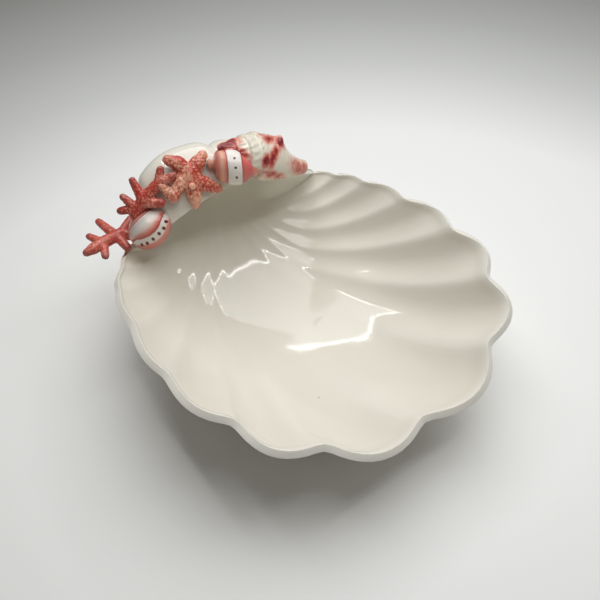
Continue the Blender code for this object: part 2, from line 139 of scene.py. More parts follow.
def outline_by_angle():
    rim_x, rim_y = ridge_line(np.linspace(-LOBES, LOBES, 561))
    turn = np.linspace(0, pi, 121)[1:-1]
    x = np.r_[rim_x, CORNER_X * np.cos(turn)]
    y = np.r_[rim_y, CORNER_Y + (BACK_Y - CORNER_Y) * np.sin(turn)]
    corner_z = rim_height(CORNER_X * np.sign(np.cos(turn)))
    back = corner_z + (FRONT_RIM + BACK_RISE - corner_z) * np.sin(turn)
    z = np.r_[rim_height(rim_x), back]
    angle = np.arctan2(x, -y)
    order = np.argsort(angle)
    # Evened out over some degrees, so that no crease runs down the basin from the rim's corners
    even = np.radians(np.arange(-180, 180))
    weights = np.exp(-((np.arange(-30, 31) / 9.0) ** 2))
    found = [np.concatenate([even - 2 * pi, even, even + 2 * pi])]
    for value in (np.hypot(x, y)[order], z[order]):
        sampled = np.interp(even, angle[order], value, period=2 * pi)
        rounded = np.convolve(np.tile(sampled, 3), weights / weights.sum(), "same")[360:720]
        found.append(np.tile(rounded, 3))
    return found


OUTLINE_ANGLE, OUTLINE_REACH, OUTLINE_Z = outline_by_angle()


def inside_height(x, y):
    """Height of the plain bowl without flutes, and how near the outline the point is."""
    angle = np.arctan2(x, -y)
    reach = np.hypot(x, y) / np.interp(angle, OUTLINE_ANGLE, OUTLINE_REACH)
    top = np.interp(angle, OUTLINE_ANGLE, OUTLINE_Z)
    return FLOOR_INSIDE + (top - FLOOR_INSIDE) * reach**PROFILE_POWER, reach


def edge_point(w):
    """Free edge of the shell: the rim for w from -7 to 7, then the lip back to -7."""
    t = HINGE_CENTRE - w
    on_lip = w > LOBES
    rim_x, rim_y = ridge_line(np.clip(w, -LOBES, LOBES))
    lip_y = LIP_Y + (CORNER_Y - LIP_Y) * np.abs(t) ** 4
    arch = np.cos(pi / 2 * np.clip(t, -1, 1)) ** 0.9
    corner_z = rim_height(CORNER_X * np.sign(t))
    lip_z = corner_z + (FRONT_RIM + LIP_RISE - corner_z) * arch
    x = np.where(on_lip, CORNER_X * t, rim_x)
    y = np.where(on_lip, lip_y, rim_y)
    z = np.where(on_lip, lip_z, rim_height(rim_x))
    return x, y, z, np.where(on_lip, t, np.sign(w + 1e-12)), on_lip


def start_point(w):
    """Where each line leaves the back wall: rim lines run down from it and lip lines run up."""
    x0 = START_SPREAD * np.where(w > LOBES, HINGE_CENTRE - w, w / LOBES)
    return x0, START_Y - 0.15 * x0**2 / START_SPREAD


def curve_through(points, g):
    """Bezier curve through lists of x, y and z."""
    last = len(points) - 1
    weights = [comb(last, i) * g**i * (1 - g) ** (last - i) for i in range(last + 1)]
    return [sum(share * point[axis] for share, point in zip(weights, points)) for axis in range(3)]


def wall_point(x0, y0, t):
    """A point a little further up the back wall, or along the rim at the two corners."""
    to_corner = smooth_step(0.70, 1.0, np.abs(t))
    corner_x = np.sign(t + 1e-12) * CORNER_X
    x = x0 + (1 - to_corner) * 0.12 * x0 + to_corner * 0.4 * (corner_x - x0)
    y = y0 + (1 - to_corner) * 0.12 * y0 + to_corner * 0.4 * (CORNER_Y - y0)
    return x, y, inside_height(x, y)[0]


def plain_shell(w, g):
    """Shell without flutes: g runs from 0 on the back wall to 1 at the free edge."""
    x, y, z, t, on_lip = edge_point(w)
    # Straight fan lines to the rim; under the lip this is the line to the near corner
    rim_w = np.where(on_lip, LOBES * np.sign(t + 1e-12), w)
    rim_x, rim_y, rim_z, _, _ = edge_point(rim_w)
    x0, y0 = start_point(rim_w)
    bend = FAN_BEND * np.sign(rim_x + 1e-12) * np.clip(LOBES - np.abs(rim_w), 0, 1) * g * (1 - g)
    px = x0 + g * (rim_x - x0) - bend * (rim_y - y0)
    py = y0 + g * (rim_y - y0) + bend * (rim_x - x0)
    floor_z, reach = inside_height(px, py)
    pz = floor_z + (rim_z - inside_height(rim_x, rim_y)[0]) * g**3
    corner_start = (x0, y0, inside_height(x0, y0)[0])
    corner_wall = wall_point(x0, y0, np.sign(t + 1e-12))
    corner_line = curve_through([corner_start, corner_wall, (rim_x, rim_y, rim_z)], g)
    # The lip: each line climbs the back wall, and in the dome it curls over and comes forward
    x0, y0 = start_point(w)
    first = (x0, y0, inside_height(x0, y0)[0])
    second = wall_point(x0, y0, t)
    low = curve_through([first, second, (x, y, z)], g)
    spread = np.where(t < CREST_AT, 0.75, 1.15)
    crest = np.cos(pi / 2 * np.clip((t - CREST_AT) / spread, -1, 1))
    points = [first, second]
    for across, back, up in DOME_CURL:
        points.append((across * x, y + (back - y) * np.sqrt(crest), z + (FRONT_RIM + up - z) * crest))
    points.append((x, y, z))
    curl = curve_through(points, g)
    blend = 1 - smooth_step(DOME_FROM, 1.0, np.abs(t))
    shell = []
    for rim_line, corner, near, over in zip((px, py, pz), corner_line, low, curl):
        lip_line = (1 - blend) * (rim_line + near - corner) + blend * over
        shell.append(np.where(on_lip, lip_line, rim_line))
    return np.stack(np.broadcast_arrays(*shell), -1), reach, t, on_lip


def outward(surface, w, g):
    """Unit normals away from the inside of the bowl."""
    dw, dg = 1e-3, 1e-3
    across = surface(w + dw, g) - surface(w - dw, g)
    along = surface(w, g + dg) - surface(w, np.maximum(g - dg, 0.0))
    normal = np.cross(across, along)
    return normal / (np.linalg.norm(normal, axis=-1, keepdims=True) + 1e-15)


def wrap(w):
    turn = 2 * HINGE_CENTRE
    return np.where(w < -LOBES, w + turn, np.where(w > turn - LOBES, w - turn, w))


def plain_points(w, g):
    return plain_shell(wrap(w), g)[0]


def flute_wave(w):
    """0 on the ridges between the flutes and 1 in the middle of each flute."""
    wave = np.sqrt(np.sin(pi * w) ** 2 + RIDGE_SOFTNESS**2) - RIDGE_SOFTNESS
    return wave / (sqrt(1 + RIDGE_SOFTNESS**2) - RIDGE_SOFTNESS)


def shell_points(w, g):
    """Inner surface of the bowl, with its flutes."""
    w = wrap(w)
    points, reach, t, on_lip = plain_shell(w, g)
    normal = outward(plain_points, w, g)
    level = 1 - smooth_step(0.6, 1.0, g)
    normal = normal * np.stack(np.broadcast_arrays(1.0, 1.0, np.where(on_lip, 1.0, level)), -1)
    normal /= np.linalg.norm(normal, axis=-1, keepdims=True) + 1e-15
    least = np.where(w < 0, FLUTE_DEPTH_LEFT, FLUTE_DEPTH_RIGHT)
    fade = np.cos(pi / 2 * np.clip(w / LOBES, -1, 1)) ** np.where(w < 0, 6, 2)
    depth = least + (FLUTE_DEPTH_FRONT - least) * fade
    flute = depth * flute_wave(w) * g**1.4 * smooth_step(0.25, 0.95, reach)
    fold = -FOLD_DEPTH * np.exp(-(((t - FOLD_AT) / FOLD_WIDTH) ** 2)) * np.sin(pi * np.clip(g, 0, 1)) ** 2
    out = np.where(on_lip, fold, flute)
    return points + normal * out[..., None]


def deselect():
    for other in bpy.context.view_layer.objects:
        other.select_set(False)


def only(piece):
    """Selects this piece alone."""
    deselect()
    piece.select_set(True)
    bpy.context.view_layer.objects.active = piece


def apply_all(piece):
    only(piece)
    for modifier in list(piece.modifiers):
        bpy.ops.object.modifier_apply(modifier=modifier.name)


def note(piece, name, values):
    """Keeps one number for each point of a piece, which its glaze or a later step reads."""
    piece.data.attributes.new(name, "FLOAT", "POINT").data.foreach_set("value", values)


COLUMNS = 168
ROWS = 64
deselect()
bpy.ops.mesh.primitive_grid_add(x_subdivisions=2 * COLUMNS, y_subdivisions=ROWS, size=1.0)
bowl = bpy.context.object
bowl.name = "glazed_shell_bowl"
flat = np.empty(len(bowl.data.vertices) * 3)
bowl.data.vertices.foreach_get("co", flat)
u, g = flat.reshape(-1, 3)[:, 0] + 0.5, flat.reshape(-1, 3)[:, 1] + 0.5
u, g = np.round(u * 2 * COLUMNS) / COLUMNS, np.round(g * ROWS) / ROWS
w = np.where(u <= 1, LOBES * (2 * u - 1), LOBES + 2 * (u - 1))
# The free edge is rolled into a bead that stands a little above the inside
RIM_WALL = 0.0060
RIM_ROUND = 0.0025
roll = smooth_step(0.960, 0.984, g)
points = shell_points(w, g) - ((RIM_WALL - WALL) * roll)[:, None] * outward(shell_points, w, g)
bowl.data.vertices.foreach_set("co", points.ravel())
# The glaze is thin at the free edge and on the ridges, and thick in the flutes; the lighter colour
# of the edge and the ridges is partly that and partly a painted highlight
ridge = np.where(w <= LOBES, (1 - flute_wave(w)) ** 3 * smooth_step(0.35, 0.9, g), 0.0)
note(bowl, "thin_glaze_and_highlight", np.maximum(smooth_step(0.975, 1.0, g), 0.5 * ridge))
note(bowl, "rolled", roll)
only(bowl)
bpy.ops.object.mode_set(mode="EDIT")
bpy.ops.mesh.select_all(action="SELECT")
bpy.ops.mesh.remove_doubles(threshold=0.00002)
bpy.ops.mesh.normals_make_consistent(inside=False)
bpy.ops.object.mode_set(mode="OBJECT")
floor_face = min(bowl.data.polygons, key=lambda face: face.center.x**2 + face.center.y**2)
if floor_face.normal.z < 0:
    bowl.data.flip_normals()
# Slip fills the two places where the lip's ends leave the back wall
FILLET_REACH = 0.030
FILLET_FADE = 0.010
hinge_ends = bowl.vertex_groups.new(name="hinge_ends")
end_y = START_Y - 0.15 * START_SPREAD
lip_end = Vector((START_SPREAD, end_y, inside_height(START_SPREAD, end_y)[0]))
for vertex in bowl.data.vertices:
    away = (Vector((abs(vertex.co.x), vertex.co.y, vertex.co.z)) - lip_end).length
    if away < FILLET_REACH:
        hinge_ends.add([vertex.index], min(1.0, (FILLET_REACH - away) / FILLET_FADE), "REPLACE")
filled = bowl.modifiers.new("filled", "SMOOTH")
filled.vertex_group = "hinge_ends"
filled.iterations = 120
apply_all(bowl)
sheet = bmesh.new()
sheet.from_mesh(bowl.data)
inner_wall = BVHTree.FromBMesh(sheet)
sheet.free()
thick = bowl.vertex_groups.new(name="thick")
for vertex, rolled in zip(bowl.data.vertices, bowl.data.attributes["rolled"].data):
    thick.add([vertex.index], (WALL + (RIM_WALL - WALL) * rolled.value) / RIM_WALL, "REPLACE")
wall = bowl.modifiers.new("wall", "SOLIDIFY")
wall.thickness = RIM_WALL
wall.vertex_group = "thick"
wall.offset = -1.0
apply_all(bowl)
# Only the two long edges of the bead are rounded: there one face has all its corners on the
# free edge, where the glaze is thinnest and the painted highlight brightest, and the other hasn't
shell = bmesh.new()
shell.from_mesh(bowl.data)
free_edge = shell.verts.layers.float["thin_glaze_and_highlight"]
rounding = shell.edges.layers.float.new("bevel_weight_edge")
for edge in shell.edges:
    rim_faces = [all(corner[free_edge] > 0.999 for corner in face.verts) for face in edge.link_faces]
    edge[rounding] = float(rim_faces.count(True) == 1)
shell.to_mesh(bowl.data)
shell.free()
rounded = bowl.modifiers.new("rounded", "BEVEL")
rounded.limit_method = "WEIGHT"
rounded.width = RIM_ROUND
rounded.segments = 5
apply_all(bowl)
# The foot is a low oval pad, part of the same casting, flat where it stands
FOOT_X = 0.058
FOOT_Y = 0.052
FOOT_EDGE = 0.001
deselect()
bpy.ops.mesh.primitive_cylinder_add(vertices=128, radius=1.0, depth=1.0, end_fill_type="TRIFAN")
foot = bpy.context.object
for vertex in foot.data.vertices:
    x, y = FOOT_X * vertex.co.x, FOOT_Y * vertex.co.y
    vertex.co = (x, y, inside_height(x, y)[0] - 0.6 * WALL if vertex.co.z > 0 else 0.0)
edge = foot.modifiers.new("edge", "BEVEL")
edge.width = FOOT_EDGE
edge.segments = 3
apply_all(foot)
footed = bowl.modifiers.new("foot", "BOOLEAN")
footed.operation = "UNION"
footed.solver = "EXACT"
footed.object = foot
apply_all(bowl)
bpy.data.objects.remove(foot)
only(bowl)
bpy.ops.object.shade_smooth_by_angle(angle=radians(60))


def linear(hex_colour):
    """An sRGB hex colour as linear red, green, blue and alpha."""
    channels = [int(hex_colour[i : i + 2], 16) / 255 for i in (1, 3, 5)]
    return (*[c / 12.92 if c <= 0.04045 else ((c + 0.055) / 1.055) ** 2.4 for c in channels], 1.0)


def add_node(tree, kind, settings=None, inputs=None, stops=()):
    """One node with its settings; an input is a value, or another node's output. Stops fill a ramp."""
    node = tree.nodes.new(kind)
    for name, value in (settings or {}).items():
        setattr(node, name, value)
    for name, value in (inputs or {}).items():
        if isinstance(value, bpy.types.NodeSocket):
            tree.links.new(value, node.inputs[name])
        else:
            node.inputs[name].default_value = value
    if stops:
        ramp = node.color_ramp.elements
        ramp.remove(ramp[-1])
        ramp[0].position, ramp[0].color = stops[0][0], linear(stops[0][1])
        for place, colour in stops[1:]:
            ramp.new(place).color = linear(colour)
    return node


def new_material(name, roughness, ior=1.5):
    """A material with only its Principled shader; returns it, its tree and the shader."""
    made = bpy.data.materials.new(name)
    made.use_nodes = True
    shader = made.node_tree.nodes["Principled BSDF"]
    shader.inputs["Roughness"].default_value = roughness
    shader.inputs["IOR"].default_value = ior
    return made, made.node_tree, shader


# Clear cream glaze over a white body: warm where it gathers, near white on the free edge and the
# ridges, where it thins and where a highlight is painted, mirror-smooth with a slow wave in it.
# One dark speck of iron shows near the front, and the foot is wiped bare, dull and a little darker,
# where it stands.
SPECK_AT = (-0.0354, -0.0779, 0.0192)
BARE_BELOW = 0.0006
GLAZED = 0.07
WIPED = 0.75
cream_glaze, tree, shader = new_material("cream_glazed_earthenware", GLAZED)
where = add_node(tree, "ShaderNodeTexCoord").outputs["Object"]
# Clouds of about 70 mm
gathered = add_node(tree, "ShaderNodeTexNoise", {}, {"Vector": where, "Scale": 14.0, "Detail": 3.0})
cloud = add_node(
    tree, "ShaderNodeMix", {"data_type": "RGBA"},
    {"Factor": gathered.outputs["Fac"], "A": linear("#EAE7DC"), "B": linear("#E5E1D4")},
)
# Lighter at the free edge and on the ridges: thin glaze, and a painted highlight as well
thin_here = add_node(tree, "ShaderNodeAttribute", {"attribute_name": "thin_glaze_and_highlight"})
edged = add_node(
    tree, "ShaderNodeMix", {"data_type": "RGBA"},
    {"Factor": thin_here.outputs["Fac"], "A": cloud.outputs["Result"], "B": linear("#EFECE3")},
)
from_speck = add_node(tree, "ShaderNodeVectorMath", {"operation": "DISTANCE"}, {0: where, 1: SPECK_AT})
# Half a millimetre of full colour, gone at 1.1 mm
speck = add_node(
    tree, "ShaderNodeMapRange", {},
    {
        "Value": from_speck.outputs["Value"],
        "From Min": 0.0005, "From Max": 0.0011, "To Min": 0.75, "To Max": 0.0,
    },
)
specked = add_node(
    tree, "ShaderNodeMix", {"data_type": "RGBA"},
    {"Factor": speck.outputs["Result"], "A": edged.outputs["Result"], "B": linear("#4A4238")},
)
height = add_node(tree, "ShaderNodeSeparateXYZ", {}, {0: where}).outputs["Z"]
bare = add_node(tree, "ShaderNodeMath", {"operation": "LESS_THAN"}, {0: height, 1: BARE_BELOW}).outputs[0]
wiped = add_node(
    tree, "ShaderNodeMix", {"data_type": "RGBA"},
    {"Factor": bare, "A": specked.outputs["Result"], "B": linear("#DDD2BD")},
)
tree.links.new(wiped.outputs["Result"], shader.inputs["Base Color"])
dull = add_node(tree, "ShaderNodeMapRange", {}, {"Value": bare, "To Min": GLAZED, "To Max": WIPED})
tree.links.new(dull.outputs["Result"], shader.inputs["Roughness"])
# Waves of about 26 mm
slow = add_node(tree, "ShaderNodeTexNoise", {}, {"Vector": where, "Scale": 38.0, "Detail": 2.0})
waves = add_node(
    tree, "ShaderNodeBump", {},
    {"Height": slow.outputs["Fac"], "Strength": 0.12, "Distance": 0.0012},
)
tree.links.new(waves.outputs["Normal"], shader.inputs["Normal"])
bowl.data.materials.append(cream_glaze)
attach(bowl, "root")
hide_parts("bowl")

# What the ornaments have in common: each was modelled or cast on its own and joined to the raw
# bowl with slip, so its underside ends inside the bowl's wall. The seat of each is a place on
# the outside of the lip: t runs along the lip from left (-1) to right (1), g from the wall up.
def outer_points(w, g):
    return shell_points(w, g) + WALL * outward(shell_points, w, g)


def seat(t, g):
    """Frame on the outside of the lip: X along the lip, Y up the dome, Z off the surface."""
    w, g = np.array(HINGE_CENTRE - t), np.array(g)
    up = outward(outer_points, w, g)
    along = outer_points(w - 0.02, g) - outer_points(w + 0.02, g)
    along -= up * (along @ up)
    along /= np.linalg.norm(along)
    frame = np.eye(4)
    frame[:3, :3] = np.column_stack([along, np.cross(up, along), up])
    frame[:3, 3] = outer_points(w, g)
    return Matrix(frame.tolist())


def join_with_slip(piece):
    """Presses what would stand inside the bowl back into the bowl's wall."""
    for vertex in piece.data.vertices:
        near, normal, _, away = inner_wall.find_nearest(vertex.co)
        depth = (vertex.co - near).dot(normal)
        aside = sqrt(max(away**2 - depth**2, 0.0))
        if depth > -WALL / 2:
            vertex.co -= normal * (depth + WALL / 2) * float(1 - smooth_step(0.0, 0.004, aside))


def finished(piece, name, glaze, node):
    only(piece)
    bpy.ops.object.shade_smooth()
    piece.name = name
    piece.data.materials.clear()
    piece.data.materials.append(glaze)
    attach(piece, "root")
    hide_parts(node)


# The starfish. Five soft arms pinched out of clay, one of them bent back on itself, with a
# round button in the middle and a pebbled skin. Red glaze breaks to peach where it runs thin
# on the pebbles and on the two upper arms.
LIMB_FIELD = 1.46
STAR_LIMBS = [
    [(1, 8, 5, 8), (-3, 22, 5, 6.8), (-11, 31, 4, 4.5)],
    [(1, 8, 5, 8), (12, 13, 5, 7), (23, 18, 3, 4.5)],
    [(0, 4, 5, 8.5), (10, -7, 5, 6.6), (20, -18, 3, 4.2)],
    [(-2, 1, 5, 8), (-5, -11, 5, 6.5), (-8, -21, 3, 3.9)],
    [(-2, 10, 5, 7.5), (-12, 6, 6, 6.4), (-24, -2, 7, 5.4), (-29, 13, 8, 3.5)],
]


def limbs(strokes, place, flatten=1.0):
    """Rolled limbs that melt into one another; each stroke lists x, y, height and radius in mm."""
    deselect()
    bpy.ops.object.metaball_add(type="BALL", location=(0, 0, 0))
    clay = bpy.context.object
    clay.data.resolution = 0.06
    clay.data.threshold = 0.6
    clay.data.elements.clear()
    for stroke in strokes:
        for start, end in zip(stroke, stroke[1:]):
            start, end = np.array(start, float), np.array(end, float)
            length = np.linalg.norm((end - start)[:3])
            count = max(2, int(length / (0.5 * min(start[3], end[3]))) + 1)
            for share in np.linspace(0, 1, count):
                x, y, z, radius = start + share * (end - start)
                lump = clay.data.elements.new()
                lump.co = (x / 10, y / 10, z / 10)
                lump.radius = LIMB_FIELD * radius / 10
    bpy.ops.object.convert(target="MESH")
    piece = bpy.context.object
    # How far each point is from the nearest limb's end, in mm: the ends are dipped darker
    ends = [Vector(stroke[-1][:3]) for stroke in strokes]
    from_tips = [min((10 * vertex.co - end).length for end in ends) for vertex in piece.data.vertices]
    note(piece, "from_tip", from_tips)
    piece.data.transform(place @ Matrix.Diagonal((0.01, 0.01, 0.01 * flatten, 1)))
    return piece


def pebble(piece, spacing, height):
    """Raises pebbles on the skin, and notes how high they stand, for the glaze."""
    normals = [vertex.normal.copy() for vertex in piece.data.vertices]
    raised = []
    for vertex, normal in zip(piece.data.vertices, normals):
        near = noise.voronoi(vertex.co / spacing)[0][0]
        raised.append(max(0.0, 1 - near / 0.62) ** 0.7)
        vertex.co += normal * height * raised[-1]
    note(piece, "raised", raised)


def speckled_glaze(name, deep, pale, tip, bare, cloud_scale, tip_reach):
    """Glossy glaze that breaks from deep to pale on the pebbles; bare is how much of it is pale.

    The clouds are 1 / cloud_scale metres across, and the darker ends reach tip_reach mm in."""
    glaze, tree, shader = new_material(name, 0.16)
    where = add_node(tree, "ShaderNodeTexCoord").outputs["Object"]
    raised = add_node(tree, "ShaderNodeAttribute", {"attribute_name": "raised"}).outputs["Fac"]
    cloud = add_node(tree, "ShaderNodeTexNoise", {}, {"Vector": where, "Scale": cloud_scale, "Detail": 2.0})
    # Speckles of 1.6 mm
    speck = add_node(tree, "ShaderNodeTexNoise", {}, {"Vector": where, "Scale": 620.0, "Detail": 2.0})
    # The glaze is pale where the clouds, the pebbles and the speckles together come out high
    mottled = bare - 1.35
    for source, share in ((cloud.outputs["Fac"], 1.7), (raised, 0.55), (speck.outputs["Fac"], 1.5)):
        mottled = add_node(
            tree, "ShaderNodeMath", {"operation": "MULTIPLY_ADD"}, {0: source, 1: share, 2: mottled}
        ).outputs[0]
    thin_here = add_node(
        tree, "ShaderNodeMapRange", {},
        {"Value": mottled, "From Min": 0.35, "From Max": 0.95},
    )
    glazed = add_node(
        tree, "ShaderNodeMix", {"data_type": "RGBA"},
        {"Factor": thin_here.outputs["Result"], "A": linear(deep), "B": linear(pale)},
    )
    from_tip = add_node(tree, "ShaderNodeAttribute", {"attribute_name": "from_tip"}).outputs["Fac"]
    dipped = add_node(
        tree, "ShaderNodeMapRange", {},
        {"Value": from_tip, "From Min": tip_reach, "From Max": tip_reach + 5.0, "To Min": 0.8, "To Max": 0.0},
    )
    ended = add_node(
        tree, "ShaderNodeMix", {"data_type": "RGBA"},
        {"Factor": dipped.outputs["Result"], "A": glazed.outputs["Result"], "B": linear(tip)},
    )
    tree.links.new(ended.outputs["Result"], shader.inputs["Base Color"])
    skin = add_node(
        tree, "ShaderNodeBump", {},
        {"Height": speck.outputs["Fac"], "Strength": 0.25, "Distance": 0.0004},
    )
    tree.links.new(skin.outputs["Normal"], shader.inputs["Normal"])
    return glaze


BUTTON_AT = (-0.004, -0.002, 0.0108)
BUTTON_SIZE = (0.0040, 0.0040, 0.0022, 1)
star_seat = seat(t=-0.37, g=0.92)
starfish = limbs(STAR_LIMBS, star_seat, flatten=0.8)
pebble(starfish, spacing=0.0030, height=0.0007)
deselect()
bpy.ops.mesh.primitive_uv_sphere_add(segments=48, ring_count=24, radius=1.0)
button = bpy.context.object
# The button is pale on top and deep red round its sides
note(button, "raised", [1.2 if vertex.co.z > 0.5 else -1.5 for vertex in button.data.vertices])
note(button, "from_tip", [30.0] * len(button.data.vertices))
button.data.transform(star_seat @ Matrix.Translation(BUTTON_AT) @ Matrix.Diagonal(BUTTON_SIZE))
starfish.select_set(True)
bpy.context.view_layer.objects.active = starfish
bpy.ops.object.join()
join_with_slip(starfish)
star_glaze = speckled_glaze(
    "red_and_peach_speckled_glaze", deep="#C0483A", pale="#F1B598", tip="#E8AA8D",
    bare=0.17, cloud_scale=55.0, tip_reach=1.5,
)
finished(starfish, "pebbled_starfish", star_glaze, "starfish")

# The inner coral branch. Rolled clay twigs with a sandy skin, in a deep red glaze with small
# pale freckles and darker ends.
INNER_CORAL_LIMBS = [
    [(-27, -2, 4, 5.5), (-9, 0, 6, 6.5), (7, 0, 7, 5.2), (16, -2, 7, 4.6)],
    [(-24, 3, 5, 4.5), (-34, 11, 4, 3.4)],
    [(-21, 4, 6, 4.5), (-21, 17, 8, 3.2)],
    [(-10, 1, 6, 5), (-3, 20, 9, 3.4)],
    [(10, -1, 7, 4.5), (23, 7, 8, 3.6)],
    [(15, -2, 7, 4.5), (27, -6, 7, 3.6)],
    [(-12, -2, 6, 5), (0, -15, 7, 4.4)],
]
inner_coral = limbs(INNER_CORAL_LIMBS, seat(t=-0.70, g=0.84))
pebble(inner_coral, spacing=0.0024, height=0.0005)
join_with_slip(inner_coral)
deep_glaze = speckled_glaze(
    "deep_red_freckled_glaze", deep="#B94538", pale="#E89A85", tip="#A04C46",
    bare=0.0, cloud_scale=60.0, tip_reach=2.0,
)
finished(inner_coral, "inner_coral_branch", deep_glaze, "coral_branch_inner")

# The outer coral branch. The same twigs, smoother and a lighter coral red, reaching out over
# the corner of the rim, with purplish ends.
OUTER_CORAL_LIMBS = [
    [(14, 8, 6, 5), (-1, 15, 9, 6), (-17, 13, 9, 6), (-30, 10, 9, 5.5), (-39, 9, 8, 3.8)],
    [(-5, 20, 9, 5), (-10, 43, 12, 3.6)],
    [(-20, 14, 9, 4.5), (-27, 29, 10, 3.4)],
    [(-19, 12, 8, 4.5), (-25, -4, 6, 3.8)],
    [(-3, 12, 8, 5), (-2, -6, 6, 4)],
    [(2, 16, 9, 5), (18, 25, 14, 4.5)],
]
rim_corner = Matrix.Translation((-CORNER_X, CORNER_Y, rim_height(CORNER_X)))
outer_coral = limbs(OUTER_CORAL_LIMBS, rim_corner)
pebble(outer_coral, spacing=0.0026, height=0.00025)
join_with_slip(outer_coral)
coral_glaze = speckled_glaze(
    "coral_red_glaze", deep="#C95C4E", pale="#E89A87", tip="#A2564F",
    bare=-0.04, cloud_scale=60.0, tip_reach=2.0,
)
finished(outer_coral, "outer_coral_branch", coral_glaze, "coral_branch_outer")


# The cockle. A round domed shell, pressed in a mould: a raised pearly panel with a rosy edge,
# then a white band with brown dots, then a pink rim. The colours are brushed on from the
# front left, under a clear gloss, so the bands are laid out in a plane that faces that way.
VIEW_FROM = radians(-35.8)
VIEW_UP = radians(44.2)
towards = Vector((sin(VIEW_FROM) * cos(VIEW_UP), -cos(VIEW_FROM) * cos(VIEW_UP), sin(VIEW_UP)))
rightwards = Vector((cos(VIEW_FROM), sin(VIEW_FROM), 0.0))
upwards = towards.cross(rightwards)
COCKLE_LONG = 0.045
COCKLE_SHORT = 0.041
COCKLE_SHORT_BELOW = 0.034
COCKLE_TALL = 0.0175
COCKLE_BACK = (0.0195, 0.0165, 0.0195)
COCKLE_BACK_UP = 0.0040
COCKLE_BACK_TURN = radians(-5)
COCKLE_BLEND = 0.0006
# In mm about the centre, in the plane that faces the front left, with v downwards
PANEL_TURN = radians(44)
PANEL_MIDDLE = 2.0
PANEL_BOTTOM = 7.7
PANEL_BEND = 0.0240
PANEL_TOP = -11.3
COCKLE_DOTS = [(17.0, 7.0), (11.1, 10.4), (4.3, 11.2), (-3.5, 10.9), (-10.6, 9.4), (-15.6, 6.5)]
COCKLE_DOT_RADIUS = 1.6


def brushed_from_front(tree, centre, turn=0.0):
    """Millimetres about a point in the plane that faces the front left: X right and Y up, turned."""
    across = cos(turn) * rightwards + sin(turn) * upwards
    over = cos(turn) * upwards - sin(turn) * rightwards
    facing = Matrix((across, over, towards))
    return add_node(
        tree, "ShaderNodeMapping", {"vector_type": "POINT"},
        {
            "Vector": add_node(tree, "ShaderNodeTexCoord").outputs["Object"],
            "Location": -1000 * (facing @ Vector(centre)),
            "Rotation": facing.to_euler(),
            "Scale": (1000, 1000, 1000),
        },
    ).outputs["Vector"]


def painted_dots(tree, place, dots, radius, ground, colour):
    """Dots over a ground colour, each with a soft edge; places and radius in mm."""
    flat = add_node(tree, "ShaderNodeVectorMath", {"operation": "MULTIPLY"}, {0: place, 1: (1, 1, 0)})
    nearest = 1000.0
    for x, y in dots:
        away = add_node(
            tree, "ShaderNodeVectorMath", {"operation": "DISTANCE"},
            {0: flat.outputs[0], 1: (x, y, 0)},
        )
        nearer = {0: nearest, 1: away.outputs["Value"]}
        nearest = add_node(tree, "ShaderNodeMath", {"operation": "MINIMUM"}, nearer).outputs[0]
    inked = add_node(
        tree, "ShaderNodeMapRange", {},
        {"Value": nearest, "From Min": radius - 0.3, "From Max": radius + 0.3, "To Min": 1.0, "To Max": 0.0},
    )
    return add_node(
        tree, "ShaderNodeMix", {"data_type": "RGBA"},
        {"Factor": inked.outputs["Result"], "A": ground, "B": linear(colour)},
    ).outputs["Result"]


cockle_seat = seat(t=-0.79, g=0.965)
cockle_centre = cockle_seat.translation
deselect()
bpy.ops.mesh.primitive_uv_sphere_add(segments=192, ring_count=96, radius=1.0)
cockle = bpy.context.object
back_turn = Matrix.Rotation(COCKLE_BACK_TURN, 3, "Z")
for vertex in cockle.data.vertices:
    way = vertex.co.normalized()
    short = COCKLE_SHORT if way.y > 0 else COCKLE_SHORT_BELOW
    base = 1 / Vector((2 * way.x / COCKLE_LONG, 2 * way.y / short, way.z / COCKLE_TALL)).length
    # Where the same ray leaves the raised back
    ray = back_turn @ way
    middle = back_turn @ Vector((0, COCKLE_BACK_UP, 0))
    ray = Vector([c / size for c, size in zip(ray, COCKLE_BACK)])
    middle = Vector([c / size for c, size in zip(middle, COCKLE_BACK)])
    reach = ray.dot(middle) / ray.dot(ray)
    root = reach**2 + (1 - middle.dot(middle)) / ray.dot(ray)
    back = reach + sqrt(max(root, 0.0))
    # The farther of the two, with a soft blend where they cross
    farther = 0.5 * (base + back) + sqrt((0.5 * (base - back)) ** 2 + COCKLE_BLEND**2)
    vertex.co = cockle_seat @ (way * farther)
# The panel stands a little proud, with a fine groove round it
normals = [vertex.normal.copy() for vertex in cockle.data.vertices]
for vertex, normal in zip(cockle.data.vertices, normals):
    away = 1000 * (vertex.co - cockle_centre)
    x, y = away.dot(rightwards), away.dot(upwards)
    u, v = cos(PANEL_TURN) * x + sin(PANEL_TURN) * y, sin(PANEL_TURN) * x - cos(PANEL_TURN) * y
    edge = min(PANEL_BOTTOM - PANEL_BEND * (u - PANEL_MIDDLE) ** 2 - v, v - PANEL_TOP)
    step = 0.5 * float(smooth_step(-0.6, 0.9, edge)) - 0.35 * float(np.exp(-((edge + 0.4) / 0.5) ** 2))
    vertex.co += normal * step / 1000
join_with_slip(cockle)

